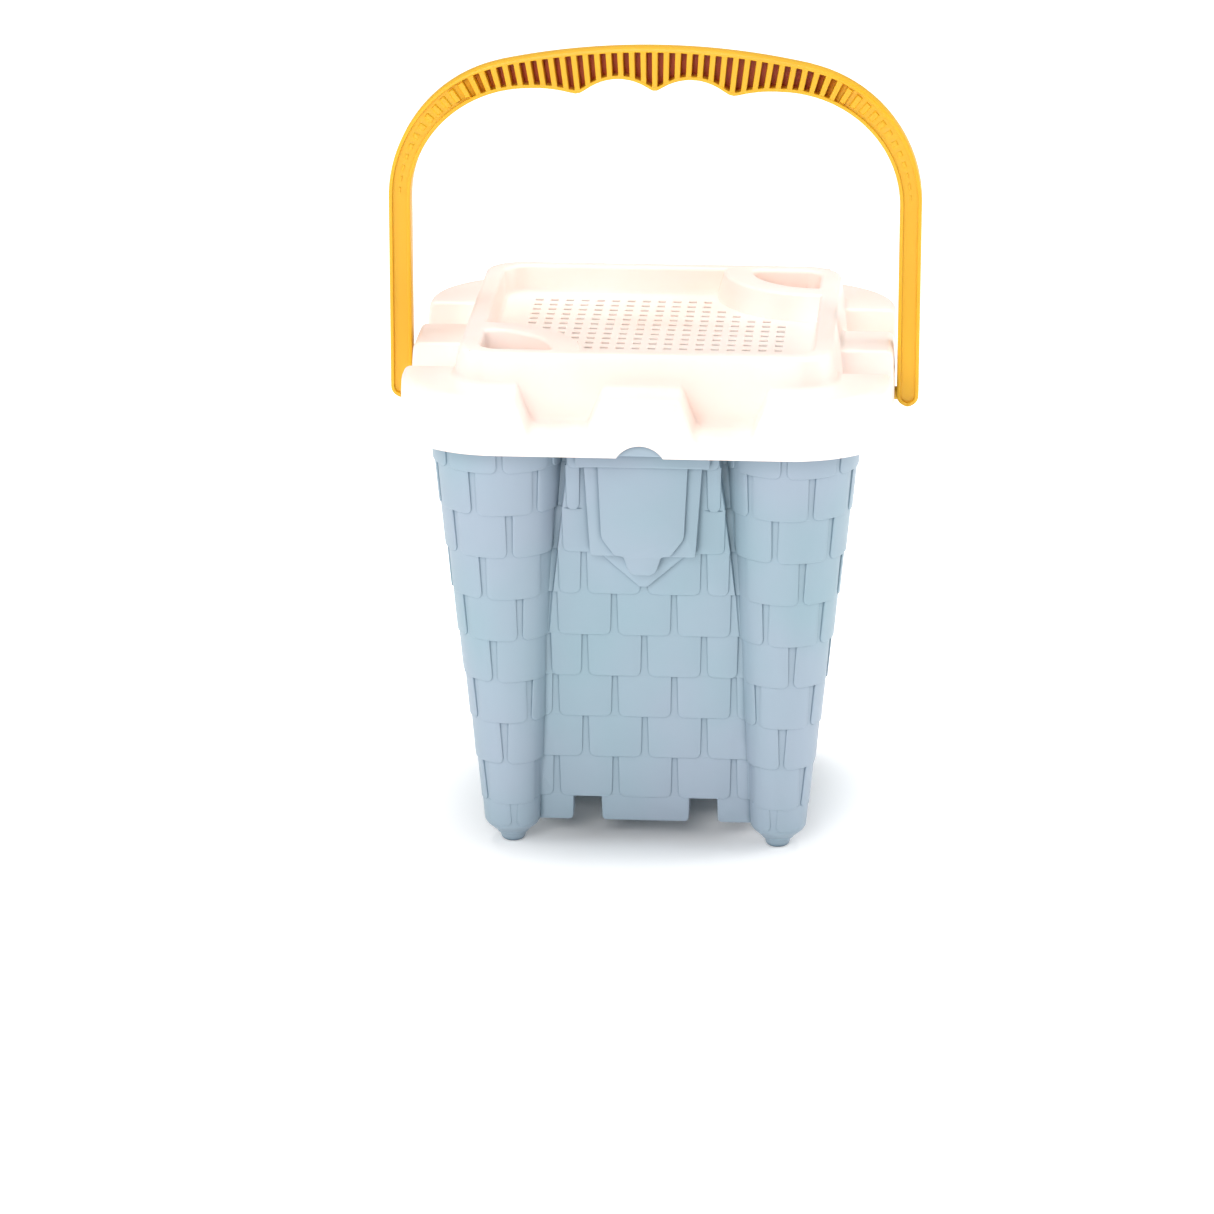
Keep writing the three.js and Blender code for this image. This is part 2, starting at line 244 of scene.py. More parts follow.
def wall_plan(z, lift):
    """One turn round the wall at height z, drawn out by lift: panel, fillet or groove, tower, and so on."""
    panel, centre, radius = panel_half(z) + lift, tower_centre(z), tower_radius(z) + lift
    foot, fillet = fillet_foot(z, lift)
    tilt = math.atan2(panel + fillet - centre, centre - foot)
    bend = [(foot + fillet * math.cos(a), -panel - fillet + fillet * math.sin(a))
            for a in np.linspace(math.pi / 2, tilt, 7)]
    edge, bottom = GROOVE_EDGE + lift, panel - GROOVE_DEPTH
    reach = centre - math.sqrt(max(radius ** 2 - (centre - bottom) ** 2, 0))
    room = reach - edge
    groove = [(edge - GROOVE_LIP, -panel), (edge - 0.2, -panel + 0.2), (edge, -panel + GROOVE_LIP),
              (edge + 0.1, -bottom - GROOVE_LIP), (edge + 0.3 * room, -bottom - 0.1),
              (edge + 0.6 * room, -bottom), (reach, -bottom)]
    share = groove_share(z)
    deep_turn = math.atan2(centre - bottom, reach - centre) % (2 * math.pi)
    turn = (1 - share) * (tilt + math.pi) + share * deep_turn
    step = [tuple(np.array(soft) * (1 - share) + np.array(deep) * share) for soft, deep in zip(bend, groove)]
    eighth = [(x, -panel) for x in np.linspace(0, step[0][0], 8)[:-1]] + step[:-1]
    eighth += [(centre + radius * math.cos(a), -centre + radius * math.sin(a))
               for a in np.linspace(turn, 1.75 * math.pi, 19)]
    quarter = eighth + [(-y, -x) for x, y in eighth[-2:0:-1]]
    plan = []
    for _ in range(4):
        plan += quarter
        quarter = [(-y, x) for x, y in quarter]
    return [(x, y, z) for x, y in plan]


# %% [markdown]
# Each course of shingles laps over the one below, so the wall behind them is not smooth either: it steps out
# by a few tenths of a millimetre at the foot of every course and leans back in above it.

# %% Loft the stepped wall
BACKING_FOOT, BACKING_HEAD = -0.15, -0.95
wall_rings = []
for course in range(ROWS):
    low = FLOOR + ROW * course
    wall_rings.append(wall_plan(low, BACKING_FOOT - 0.1))
    wall_rings.append(wall_plan(low + 0.15, BACKING_FOOT))
    wall_rings.append(wall_plan(min(low + ROW - 0.02, RIM_TOP - 1), BACKING_HEAD))
bucket = new_solid("castle_bucket_moulding", loft(wall_rings))
print("wall:", len(bucket.data.polygons), "faces in", len(wall_rings), "rings")

# %% [markdown]
# Below the floor only the towers go on. Each ends in a short cone, an eave and a blunt foot, like a turned
# spindle tip. A turned profile gives this, and each turned tower then leans outwards with the flare.

# %% Turn the tower tips
def lean(part, side_x, side_y):
    """Moves a tower that was turned about the Z axis out to its corner, following the flare."""
    verts, faces = part
    return [(x + side_x * tower_centre(z), y + side_y * tower_centre(z), z) for x, y, z in verts], faces


CORNERS = [(1, -1), (1, 1), (-1, 1), (-1, -1)]
tip_outline = [(0, 0, 0), (4.2, 0, 1.9), (4.9, 3.2, 0.3), (5.9, 3.6, 0.3), (6.2, 4.5, 0.3), (7.0, 4.9, 0.4),
               (9.9, 7.5, 1.8), (tower_radius(17.6) - 0.2, 17.6, 0), (tower_radius(17.6) - 0.6, 19.4, 0),
               (0, 19.4, 0)]
tip = turned(rounded_path(tip_outline), 64)
combine(bucket, new_solid("tips", *[lean(tip, *corner) for corner in CORNERS]), "UNION")
print("tower tips reach down to", min(v.co.z for v in bucket.data.vertices) / MM)

# %% [markdown]
# ## Battlements, shingles and gate
#
# Everything that stands proud of the wall is a flat plate with a softened edge. A plate is drawn as an
# outline in front view and lofted back into the wall; the softened edge is an extra ring, drawn in a little.

# %% A plate with a softened edge
def drawn_in(outline, distance):
    """Moves each point of a closed outline inwards, square to its two edges."""
    points = np.array(outline, float)
    before = points - np.roll(points, 1, axis=0)
    after = np.roll(points, -1, axis=0) - points
    before /= np.linalg.norm(before, axis=1)[:, None]
    after /= np.linalg.norm(after, axis=1)[:, None]
    inward_a = np.stack([-before[:, 1], before[:, 0]], 1)
    inward_b = np.stack([-after[:, 1], after[:, 0]], 1)
    square = inward_a + inward_b
    square /= (1 + (inward_a * inward_b).sum(1))[:, None]
    area = (points[:, 0] * np.roll(points[:, 1], -1) - np.roll(points[:, 0], -1) * points[:, 1]).sum()
    return points + square * distance * (1 if area > 0 else -1)


def plate(outline, front, back, soften=0.4):
    """A plate on the front of the bucket. front and back give how far forward the faces are at a height."""
    inner = drawn_in(outline, soften)
    middle = drawn_in(outline, soften * 0.3)
    rings = [[(x, -front(z), z) for x, z in inner],
             [(x, -front(z) + soften * 0.3, z) for x, z in middle],
             [(x, -front(z) + soften, z) for x, z in outline],
             [(x, -back(z), z) for x, z in outline]]
    return loft(rings)


def mirrored(half_outline):
    """A whole outline from its right half, listed from bottom to top."""
    return list(half_outline) + [(-x, z) for x, z in half_outline[::-1]]


# %% [markdown]
# The battlements hang below the floor on every side: a wide merlon in the middle and a narrow one beside each
# tower. Their faces carry on the slope of the panels. They are hollow, because sand fills them in the mould.

# %% Hang the battlements
MERLON_BOTTOM = 7.7
MERLON_HALF = 16.5
SIDE_MERLON = (26.9, 44.0)
MERLON_DEPTH = 9.0


def merlon_outlines(shrink, top):
    """The three merlons of one side, in front view."""
    bottom = MERLON_BOTTOM + shrink
    wide, (inner, outer) = MERLON_HALF - shrink, SIDE_MERLON
    middle = rounded_path([(wide, top, 0), (wide - 0.3, bottom, 1.6), (-wide + 0.3, bottom, 1.6),
                           (-wide, top, 0)])
    side = rounded_path([(outer, top, 0), (outer, bottom, 0.2), (inner + shrink + 0.3, bottom, 1.6),
                         (inner + shrink, top, 0)])
    return [middle, side, side[::-1] * (-1, 1)]


def battlements(shrink, top, front_lift, soften):
    plates = [plate(outline, lambda z: panel_half(z) + front_lift,
                    lambda z: panel_half(z) - MERLON_DEPTH + shrink, soften)
              for outline in merlon_outlines(shrink, top)]
    return [turn_about_z(part, turns) for turns in range(4) for part in plates]


combine(bucket, new_solid("battlements", *battlements(0, FLOOR + 0.6, -0.05, 0.35)), "UNION")
print("battlements hung:", 3 * 4)

# %% [markdown]
# The shingles are the bucket's skin. Each is a tapered tile with round lower corners, thickest at its foot.
# Modelling each one, rather than painting a bump, keeps the lap lines sharp at any distance and shows on the
# outline. One function lays a tile on either kind of wall: it is told how to place a point that is so far
# along the wall, so high, and so proud of it.

# %% One shingle
TILE_FOOT, TILE_HEAD = 0.32, -0.25
TILE_ROOT = -1.1
TILE_CORNER = 2.1


def shingle(place, low, height, half_foot, half_head, columns):
    """A tile from its lower edge up, on the wall that place() describes."""
    turns = np.linspace(0, math.pi / 2, 5)
    rises = [TILE_CORNER * (1 - math.cos(a)) for a in turns] + [height * 0.55, height]
    cuts = [TILE_CORNER * (1 - math.sin(a)) for a in turns] + [0, 0]
    grid = []
    for rise, cut in zip(rises, cuts):
        half = half_foot + (half_head - half_foot) * rise / height - cut
        grid.append([(half * step, rise) for step in np.linspace(-1, 1, columns + 1)])
    rows = len(grid)

    def lift_at(rise):
        return TILE_FOOT + (TILE_HEAD - TILE_FOOT) * rise / ROW

    verts = [place(u, low + rise, lift_at(rise)) for line in grid for u, rise in line]
    wide = columns + 1
    faces = [(r * wide + c, r * wide + c + 1, (r + 1) * wide + c + 1, (r + 1) * wide + c)
             for r in range(rows - 1) for c in range(columns)]
    edge = [(0, c) for c in range(wide)] + [(r, columns) for r in range(1, rows)]
    edge += [(rows - 1, c) for c in range(columns - 1, -1, -1)] + [(r, 0) for r in range(rows - 2, 0, -1)]
    loop = [grid[r][c] for r, c in edge]
    previous = [r * wide + c for r, c in edge]
    for spread, drop in ((0.10, 0.03), (0.24, 0.13), (0.32, 0.30), (0.34, None)):
        start = len(verts)
        for u, rise in drawn_in(loop, -spread):
            lift = TILE_ROOT if drop is None else lift_at(rise) - drop
            verts.append(place(u, low + rise, lift))
        ring = list(range(start, len(verts)))
        for i, corner in enumerate(ring):
            nxt = (i + 1) % len(ring)
            faces.append((previous[i], previous[nxt], ring[nxt], corner))
        previous = ring
    faces.append(tuple(previous))
    return verts, faces


# %% [markdown]
# Courses are laid in running bond. On the panels every other course has a tile in the middle; on the towers
# every other course has a joint on the outer corner line. The tiles keep their width as the towers taper, so
# fewer of them go round at the bottom.

# %% Lay the shingles
PANEL_PITCH = 22.1
GAP_FOOT, GAP_HEAD = 3.4, 2.6
WIDE_TILE, CORNER_TILE = 21.7, 19.8


def on_panel(middle):
    """Places a point of a tile on the front panel, with the tile's middle this far along."""
    return lambda along, z, lift: (middle + along, -panel_half(z) - lift, z)


def on_tower(middle_angle):
    """Places a point of a tile on the front right tower, turned this far from its outer corner line."""
    def place(along, z, lift):
        angle = -math.pi / 4 + middle_angle + along / tower_radius(z)
        reach = tower_radius(z) + lift
        return tower_centre(z) + reach * math.cos(angle), -tower_centre(z) + reach * math.sin(angle), z
    return place


def course_height(course):
    """The lower edge of a course and how tall its tiles are, tucked under the course above."""
    low = FLOOR + ROW * course
    if course < 0:
        return 8.6, FLOOR + 0.4 - 8.6
    return low, min(ROW + 0.4, RIM_TOP - 1.5 - low)


def panel_course(course):
    """The tiles of one course on all four panels."""
    low, height = course_height(course)
    shift = 0 if course % 2 == 0 else PANEL_PITCH / 2
    half_foot, half_head = (PANEL_PITCH - GAP_FOOT) / 2, (PANEL_PITCH - GAP_HEAD) / 2
    head = low + height
    limit = panel_end(head) + 0.15 if groove_share(head) > 0 else math.inf
    tiles = []
    for middle in (shift + PANEL_PITCH * n for n in range(-3, 3)):
        over = max(abs(middle) + half_foot - limit, 0)
        if abs(middle) < 46 and over < 2 * half_foot - 3:
            place = on_panel(middle - math.copysign(over / 2, middle))
            tiles.append(shingle(place, low, height, half_foot - over / 2, half_head - over / 2, 2))
    return [turn_about_z(tile, turns) for turns in range(4) for tile in tiles]


def tower_course(course):
    """The tiles of one course round all four towers."""
    low, height = course_height(course)
    radius = tower_radius(low + height / 2)
    if course % 2 == 0:
        places = [(WIDE_TILE * (n + 0.5), WIDE_TILE) for n in range(3)]
    else:
        places = [(0, CORNER_TILE)] + [(CORNER_TILE / 2 + 24.0 * (n + 0.5), 24.0) for n in range(2)]
    places += [(-middle, pitch) for middle, pitch in places if middle > 0]
    tiles = [shingle(on_tower(middle / radius), low, height,
                     (pitch - GAP_FOOT) / 2, (pitch - GAP_HEAD) / 2, 10)
             for middle, pitch in places if abs(middle) / radius < math.radians(128)]
    return [turn_about_z(tile, turns) for turns in range(4) for tile in tiles]


for parity in (0, 1):
    courses = [course for course in range(ROWS) if course % 2 == parity]
    panel_tiles = [tile for course in courses for tile in panel_course(course)]
    combine(bucket, new_solid("panel_tiles", *panel_tiles), "UNION")
    courses += [-1] if parity else []
    tower_tiles = [tile for course in courses for tile in tower_course(course)]
    combine(bucket, new_solid("tower_tiles", *tower_tiles), "UNION")
    print("tiles laid:", len(panel_tiles), "on the panels and", len(tower_tiles), "on the towers")

# %% [markdown]
# The gate hangs from the rim on the front and the back: a cornice, a tapering plate, a pointed gable behind
# it and a shield on it, one on top of the other. Their faces are upright while the wall leans away below, so
# the gate stands out most at its foot. The shield's lower edge is an ogee, drawn with round corners.

# %% Build the gate
GATE_TOP = RIM_TOP - 1.2


def gate_parts(shrink, soften):
    """(outline, how far forward) for each layer, drawn in all round by shrink."""
    top = GATE_TOP - shrink
    plate_half = rounded_path([(0, 118 + shrink, 0), (19.3 - shrink, 118 + shrink, 0.9),
                               (22.6 - shrink, top, 0)])
    gable_half = rounded_path([(0, 105.2 + 1.5 * shrink, 0), (1.4, 105.2 + 1.5 * shrink, 0.5),
                               (16.6 - shrink, 118.4 + shrink, 0.8), (16.6 - shrink, 124 + shrink, 0)])
    shield_half = rounded_path([
        (0, 111.4 + shrink, 0), (4.6 - shrink / 2, 111.5 + shrink, 3.6), (6.9 - shrink, 118.4 + shrink, 1.2),
        (10.3 - shrink, 118.9 + shrink, 1.8), (15.2 - shrink, 125.5 + shrink, 6.5),
        (17.1 - shrink, top, 0)], 6)
    cornice_half = rounded_path([(0, 152.6 + shrink, 0), (24.6 - shrink, 152.6 + shrink, 1.0),
                                 (24.6 - shrink, top, 0)])
    bead_half = rounded_path([(0, 157.4 + shrink, 0), (20.4 - shrink, 157.4 + shrink, 1.2),
                              (20.4 - shrink, top, 0)])
    layers = [(gable_half, 65.4), (plate_half, 69.4), (shield_half, 71.5), (cornice_half, 72.6),
              (bead_half, 74.0)]
    parts = []
    for half, forward in layers:
        outline = mirrored([tuple(p) for p in half[1:]])
        parts.append(plate(outline, lambda z, f=forward: f - shrink, lambda z: 57.0, soften))
    return parts


for layer in gate_parts(0, 0.45):
    combine(bucket, new_solid("gate_layer", layer, turn_about_z(layer, 2)), "UNION")
gate_front = max(-v.co.y for v in bucket.data.vertices if abs(v.co.x) < 20 * MM) / MM
print("gate layers on front and back; foremost face at", round(gate_front, 1))

# %% [markdown]
# ## The rim and the inside
#
# The rim is a flat ledge that turns down into a collar, which stiffens the thin wall. On the left and right
# it carries an ear with a hole for the handle's pin. The section of the rim is a closed path, and lofting
# that path round a square with round corners makes the whole ring at once.

# %% A square ring of any section
def square_ring(half, corner, z, steps=12):
    """Points round a square with round corners, at one height."""
    straight = half - corner
    ring = []
    for turns in range(4):
        for angle in np.linspace(-math.pi / 2, 0, steps + 1):
            x, y = straight + corner * math.cos(angle), -straight + corner * math.sin(angle)
            for _ in range(turns):
                x, y = -y, x
            ring.append((x, y, z))
    return ring


RIM_CORNER_CENTRE = 52.8
RIM_PLATE = 1.8
COLLAR_BOTTOM = 161.3
collar_inner = RIM_HALF - 1.8
rim_section = rounded_path([
    (66, RIM_TOP - RIM_PLATE, 0), (collar_inner, RIM_TOP - RIM_PLATE, 0.9),
    (collar_inner, COLLAR_BOTTOM, 0.4),
    (RIM_HALF, COLLAR_BOTTOM, 0.7), (RIM_HALF - 0.15, RIM_TOP, 1.3), (66, RIM_TOP, 0)])
rim_rings = [square_ring(half, half - RIM_CORNER_CENTRE, z, 16) for half, z in rim_section]
combine(bucket, new_solid("rim", loft(rim_rings, joined_ends=True)), "UNION")
print("rim rings:", len(rim_rings))

# %% Add the pivot ears
EAR_RADIUS = 8.0
ear_outline = [(EAR_RADIUS * math.cos(a), PIVOT_HEIGHT + EAR_RADIUS * math.sin(a))
               for a in np.linspace(-math.pi, 0, 25)]
ear_outline += [(EAR_RADIUS, RIM_TOP - 0.5), (-EAR_RADIUS, RIM_TOP - 0.5)]
ear = plate(ear_outline, lambda z: RIM_HALF - 0.02, lambda z: collar_inner + 0.02, 0.35)
combine(bucket, new_solid("ears", turn_about_z(ear, 1), turn_about_z(ear, 3)), "UNION")

# %% [markdown]
# The inside is the mould that shapes a sand castle, so it follows the outside at one wall's thickness, down
# into the towers, the merlons and the gate. It is made the same way as the outside and then cut away.

# %% Hollow the bucket out
groove_heights = range(GROOVE_START, GROOVE_START + GROOVE_RISE + 1, 9)
hollow_rings = [wall_plan(z, -WALL) for z in (FLOOR + 2, 60, *groove_heights, RIM_TOP + 2)]
hollow = new_solid("hollow", loft(hollow_rings))
core_outline = [(0, 2.0, 0), (2.4, 2.0, 0.8), (4.4, 5.6, 0.5), (8.0, 9.0, 1.0),
                (tower_radius(24) - WALL - 0.05, 24, 0), (0, 24, 0)]
tower_core = turned(rounded_path(core_outline), 48)
combine(hollow, new_solid("tower_cores", *[lean(tower_core, *corner) for corner in CORNERS]), "UNION")
combine(hollow, new_solid("merlon_cores", *battlements(1.8, FLOOR + 2.6, -1.9, 0.2)), "UNION")
for layer in gate_parts(2.2, 0.2):
    combine(hollow, new_solid("gate_core", layer, turn_about_z(layer, 2)), "UNION")
combine(bucket, hollow, "DIFFERENCE")
print("hollowed bucket:", len(bucket.data.polygons), "faces")

# %% Drill the ears
def along_x(part):
    """Turns a part that was made about the Z axis so that it lies along X at the pivot's height."""
    verts, faces = part
    return [(z, y, PIVOT_HEIGHT - x) for x, y, z in verts], faces


HOLE = 2.9
hole_path = [(0, 80), (HOLE, 80), (HOLE, RIM_HALF - 0.3), (HOLE + 0.4, RIM_HALF + 0.1), (HOLE + 0.4, 90),
             (0, 90)]
hole = along_x(turned(hole_path, 32))
slot_outline = rounded_path([(-4.2, 160, 0), (4.2, 160, 0), (4.2, RIM_TOP + 1, 0), (-4.2, RIM_TOP + 1, 0)])
slot = plate(slot_outline, lambda z: collar_inner, lambda z: collar_inner - 3.2, 0.01)
combine(bucket, new_solid("holes", hole, turn_about_z(hole, 2)), "DIFFERENCE")
combine(bucket, new_solid("slots", turn_about_z(slot, 1), turn_about_z(slot, 3)), "DIFFERENCE")
finish_surface(bucket)

# %% [markdown]
# ## The lid
#
# The lid is a second castle: a skirt that drops over the bucket's rim, a flat walk on top of it with two
# notches cut in each side, and a square frame that stands on the walk round a sunken sieve. It is one skin of
# even thickness, so the outside and the inside are both made of the same rings, from the sieve outwards and
# down to the skirt's edge, and back up inside. Where a notch falls, the rings dip together.

# %% Notches along one side
LID_TOP = 182.6
NOTCH_FLOOR = 169.0
LID_WALL = 1.8
PIN_NOTCH_HALF, PIN_NOTCH_HEIGHT = 8.45, 4.6
PIN_SLOT_HEIGHT = 10.8
SIDE_REACH = 50.0
LID_CORNER_STEPS = 16


def notched_side(depth):
    """Where the columns of one side stand, and how high the walk is there, this deep below the surface."""
    shift = 1.205 * depth / LID_WALL
    top, floor = LID_TOP - depth, NOTCH_FLOOR - depth
    path = rounded_path([(9.6, top, 0), (14.4 - shift, top, 2.2 - depth), (20.0 - shift, floor, 3.4 + depth),
                         (40.0 + shift, floor, 3.4 + depth), (45.6 + shift, top, 2.2 - depth),
                         (SIDE_REACH, top, 0)], 5)
    middle = [(x, top) for x in (0, 1.2, 2.4, 3.6, 4.8, 5.8, 6.7, 7.4, 7.9, 8.2, 8.38, PIN_NOTCH_HALF)]
    half = np.array(middle + [tuple(p) for p in path])
    return np.concatenate([half[:0:-1] * (-1, 1), half])


def skirt_bottom(x, over_pin):
    """The lower edge of the skirt: a low arch at the front and back, a taller one over the pins."""
    if over_pin:
        arch = LID_BOTTOM + PIN_SLOT_HEIGHT * np.sqrt(np.clip(1 - (x / PIN_NOTCH_HALF) ** 2, 0, None))
    else:
        radius = (PIN_NOTCH_HALF ** 2 + PIN_NOTCH_HEIGHT ** 2) / (2 * PIN_NOTCH_HEIGHT)
        arch = LID_BOTTOM + PIN_NOTCH_HEIGHT - radius + np.sqrt(np.clip(radius ** 2 - x ** 2, 0, None))
    return np.where(np.abs(x) < PIN_NOTCH_HALF - 0.01, arch, LID_BOTTOM)


side_outer, side_inner = notched_side(0.0), notched_side(LID_WALL)
print("columns along one side:", len(side_outer))

# %% [markdown]
# A ring of the lid takes its distance out and its height from a rule, because both may depend on how high the
# walk is at that column. The corners of the skirt are wide sweeps and those of the frame are tight, so each
# ring also has its own corner radius.

# %% Rings of the lid
def lid_ring(rule, corner, inside=False):
    """rule(walk, bottom) gives how far out and how high the ring is in each column."""
    columns = side_inner if inside else side_outer
    walk = columns[:, 1]
    ring = []
    for side in range(4):
        bottom = skirt_bottom(side_outer[:, 0], over_pin=side % 2 == 1)
        out, up = (np.broadcast_to(value, walk.shape) for value in rule(walk, bottom))
        quarter = [(x, -o, u) for x, o, u in zip(columns[:, 0], out, up)]
        straight = out[-1] - corner
        for angle in np.linspace(-math.pi / 2, 0, LID_CORNER_STEPS + 1):
            across, back = corner * math.cos(angle), corner * math.sin(angle)
            quarter.append((straight + across, -straight + back, up[-1]))
        for _ in range(side):
            quarter = [(-y, x, z) for x, y, z in quarter]
        ring += quarter
    return ring


FRAME_HALF, FRAME_DRAFT = 68.0, 0.144
TRAY_FLOOR, TRAY_PLATE, TRAY_HALF = 183.7, 1.5, 60.4
SKIRT_DRAFT = 0.028
WALK_EDGE = 2.6
FRAME_FOOT = 2.0


def frame_wall(z):
    return FRAME_HALF + (FRAME_TOP - z) * FRAME_DRAFT


def skirt(z):
    return LID_HALF - (z - LID_BOTTOM) * SKIRT_DRAFT


# %% [markdown]
# Outside first: the sieve's floor, up the tray's wall, over the frame, down to the walk with a round foot,
# over the round edge of the walk and down the skirt. Then the inside, one wall's thickness behind.

# %% Loft the lid
rings = []
over_frame = rounded_path([(50, TRAY_FLOOR, 0), (TRAY_HALF, TRAY_FLOOR, 1.6),
                           (TRAY_HALF + 0.6, FRAME_TOP, 1.3),
                           (FRAME_HALF, FRAME_TOP, 2.0), (frame_wall(LID_TOP), LID_TOP, 0)], 4)[1:-1]
for half, z in over_frame:
    rings.append(lid_ring(lambda walk, bottom, h=half, z=z: (h, z), 9 if half < 64 else 13))
for angle in np.linspace(0, math.pi / 2, 5):
    rings.append(lid_ring(lambda walk, bottom, a=angle: (
        frame_wall(walk) + FRAME_FOOT * (1 - math.cos(a)), walk + FRAME_FOOT * (1 - math.sin(a))), 14.5))
rings.append(lid_ring(lambda walk, bottom: (80.0, walk), 26))
for angle in np.linspace(0, math.pi / 2, 6):
    rings.append(lid_ring(lambda walk, bottom, a=angle: (
        skirt(walk) - WALK_EDGE * (1 - math.sin(a)), walk - WALK_EDGE * (1 - math.cos(a))), 36.4))
for out, rise in ((0, 0.7), (0.2, 0.2), (0.7, 0)):
    rings.append(lid_ring(lambda walk, bottom, o=out, r=rise: (LID_HALF - o, bottom + r), 37))
outside_rings = len(rings)
rings.append(lid_ring(lambda walk, bottom: (LID_HALF - LID_WALL + 0.2, bottom), 35.2))
rings.append(lid_ring(lambda walk, bottom: (LID_HALF - LID_WALL, bottom + 0.2), 35.2))
for angle in np.linspace(math.pi / 2, 0, 4):
    rings.append(lid_ring(lambda walk, bottom, a=angle: (
        skirt(walk) - LID_WALL - 1.0 + math.sin(a), walk - 1.0 + math.cos(a)), 34.6, inside=True))
rings.append(lid_ring(lambda walk, bottom: (80.0, walk), 26, inside=True))
rings.append(lid_ring(lambda walk, bottom: (frame_wall(walk) - LID_WALL, walk), 12.7, inside=True))
under_top = FRAME_TOP - LID_WALL
rings.append(lid_ring(lambda walk, bottom: (frame_wall(under_top) - LID_WALL, under_top), 11.2, inside=True))
rings.append(lid_ring(lambda walk, bottom: (TRAY_HALF + 0.6 + LID_WALL, under_top), 10.8, inside=True))
tray_under = TRAY_FLOOR - TRAY_PLATE
rings.append(lid_ring(lambda walk, bottom: (TRAY_HALF + LID_WALL, tray_under), 10.8, inside=True))
lid = new_solid("sieve_lid_moulding", loft(rings))
print("lid skin:", outside_rings, "rings outside,", len(rings) - outside_rings, "inside")

# %% [markdown]
# Two opposite corners of the tray are filled by a round ledge with a finger pocket in it, to lift the lid by.
# Each pocket is a quarter of a round bowl. The bowl's shell is joined first, and then the bowl and a hollow
# under the ledge are cut.

# %% Ledges and finger pockets
LEDGE_TOP_RADIUS, LEDGE_FOOT_RADIUS = 37.0, 40.0
POCKET_RADIUS, POCKET_FLOOR = 26.0, 174.0


def ledge_outline(radius):
    """The plan of a ledge about its corner, run on a little into the frame."""
    arc = [(radius * math.cos(a), radius * math.sin(a)) for a in np.linspace(-0.09, math.pi / 2 + 0.09, 33)]
    return [(-3.4, -3.4)] + arc


def bowl_outline(radius, grow):
    """The plan of a pocket: a quarter disc with every corner rounded."""
    rim = radius + grow
    corners = [(-grow, rim * 0.5, 0), (-grow, -grow, 7.0 + grow), (rim * 0.5, -grow, 0)]
    inner = [tuple(p) for p in rounded_path(corners, 8)]
    start = math.asin((2.0 - grow) / (rim - 2.0))
    nook = (rim - 2.0) * math.cos(start)
    blend = [(nook + 2.0 * math.cos(a), 2.0 - grow + 2.0 * math.sin(a))
             for a in np.linspace(-math.pi / 2, start, 6)[:-1]]
    arc = [(rim * math.cos(a), rim * math.sin(a)) for a in np.linspace(start, math.pi / 2 - start, 25)]
    return inner + blend + arc + [(y, x) for x, y in blend[::-1]]


def at_corners(outlines):
    """A loft through (outline, height) pairs, placed at the front left and back right of the tray."""
    part = loft([[(x - TRAY_HALF, y - TRAY_HALF, z) for x, y in outline] for outline, z in outlines])
    return [part, turn_about_z(part, 2)]


ledge_side = rounded_path([(LEDGE_FOOT_RADIUS, TRAY_FLOOR - 0.8, 0),
                           (LEDGE_TOP_RADIUS, FRAME_TOP - 0.02, 1.6), (20, FRAME_TOP - 0.02, 0)], 5)[:-1]
combine(lid, new_solid("ledges", *at_corners([(ledge_outline(r), z) for r, z in ledge_side])), "UNION")
shell = [(bowl_outline(POCKET_RADIUS - 3.0, 1.7), POCKET_FLOOR - 1.8),
         (bowl_outline(POCKET_RADIUS - 1.6, 1.7), POCKET_FLOOR - 0.4),
         (bowl_outline(POCKET_RADIUS - 0.6, 1.7), TRAY_FLOOR - 0.3)]
combine(lid, new_solid("bowl_shells", *at_corners(shell)), "UNION")


def hollow_outline(outer):
    """The plan of the hollow under a ledge, between the bowl's shell and the ledge's own wall."""
    inner = POCKET_RADIUS + LID_WALL
    turns = np.linspace(-0.06, math.pi / 2 + 0.06, 25)
    return ([(outer * math.cos(a), outer * math.sin(a)) for a in turns]
            + [(inner * math.cos(a), inner * math.sin(a)) for a in turns[::-1]])


under_ledge = [(hollow_outline(LEDGE_FOOT_RADIUS - 1.8), tray_under - 1.0),
               (hollow_outline(LEDGE_TOP_RADIUS - 1.6), FRAME_TOP - LID_WALL)]
combine(lid, new_solid("ledge_hollows", *at_corners(under_ledge)), "DIFFERENCE")
bowl = [(bowl_outline(POCKET_RADIUS - 4.0, 0), POCKET_FLOOR),
        (bowl_outline(POCKET_RADIUS - 2.7, 0), POCKET_FLOOR + 0.5),
        (bowl_outline(POCKET_RADIUS - 2.1, 0), POCKET_FLOOR + 1.8)]
for angle in np.linspace(0, math.pi / 2, 5):
    flare = 1.5 * (1 - math.cos(angle))
    bowl.append((bowl_outline(POCKET_RADIUS, flare), FRAME_TOP - 1.5 + 1.5 * math.sin(angle)))
bowl.append((bowl_outline(POCKET_RADIUS, 1.5), FRAME_TOP + 1))
combine(lid, new_solid("bowls", *at_corners(bowl)), "DIFFERENCE")
print("lid with pockets:", len(lid.data.polygons), "faces")

# %% [markdown]
# The sieve is a grid of square holes through the tray's floor, left solid near the ledges. Each hole has a
# small lead-in at the top.

